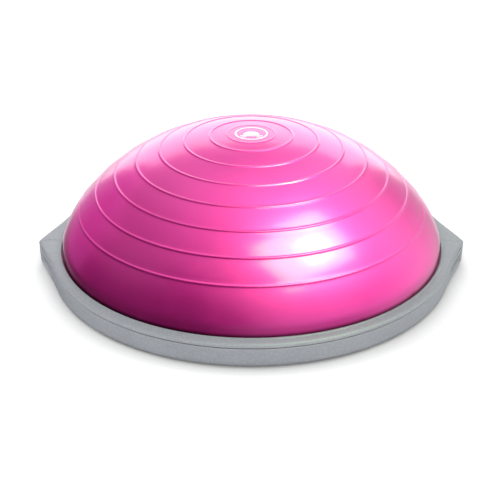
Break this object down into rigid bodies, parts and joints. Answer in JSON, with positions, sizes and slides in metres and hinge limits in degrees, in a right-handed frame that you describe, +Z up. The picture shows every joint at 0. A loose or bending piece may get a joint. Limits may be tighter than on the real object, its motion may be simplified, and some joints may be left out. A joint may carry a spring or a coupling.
{
  "type": "balance dome trainer",
  "caption": "Inflated ribbed dome clamped by a ring to a rigid round platform with two pointed side grips, for standing, kneeling and balance exercise on either side.",
  "frame": {"origin": "on the floor under the middle of the round platform, at the bottom centre of the bounding box", "axes": "+Z up through the crown, +X through one pointed grip, Y across the platform between the grips"},
  "size_m": [0.6844, 0.64, 0.2269],
  "materials": {
    "platform_grey": "fine satin grain",
    "dome_pink": "glossy soft vinyl",
    "floor_vinyl": "soft vinyl sheet",
    "valve_white": "moulded vinyl",
    "foot_rubber": "matte rubber",
    "screw_steel": "zinc plated",
    "emblem_ink": "printed ink"
  },
  "bodies": {
    "platform": {"base_platform": "platform_grey", "top_ring": "platform_grey", "bladder_floor": "floor_vinyl", "valve_seat": "valve_white", "clamp_screw_01": "screw_steel", "clamp_screw_02": "screw_steel", "clamp_screw_03": "screw_steel", "clamp_screw_04": "screw_steel", "clamp_screw_05": "screw_steel", "clamp_screw_06": "screw_steel", "clamp_screw_07": "screw_steel", "clamp_screw_08": "screw_steel", "clamp_screw_09": "screw_steel", "clamp_screw_10": "screw_steel", "clamp_screw_11": "screw_steel", "clamp_screw_12": "screw_steel", "clamp_screw_13": "screw_steel", "clamp_screw_14": "screw_steel", "clamp_screw_15": "screw_steel", "clamp_screw_16": "screw_steel", "foot_1": "foot_rubber", "foot_2": "foot_rubber", "foot_3": "foot_rubber", "foot_4": "foot_rubber", "foot_5": "foot_rubber", "foot_6": "foot_rubber", "foot_7": "foot_rubber", "foot_8": "foot_rubber"},
    "dome": {"dome_bladder": "dome_pink", "crown_emblem": "emblem_ink"},
    "plug": {"valve_plug": "valve_white"}
  },
  "joints": [
    {"name": "dome_press", "type": "slide", "parent": "platform", "child": "dome", "axis": [0, 0, 1], "range_m": [-0.05, 0], "stiffness_N_per_m": 16000, "springref_m": 0.002, "deforming": ["dome_bladder"]},
    {"name": "plug_pull", "type": "slide", "parent": "platform", "child": "plug", "axis": [0, 0, -1], "range_m": [0, 0.024]}
  ]
}
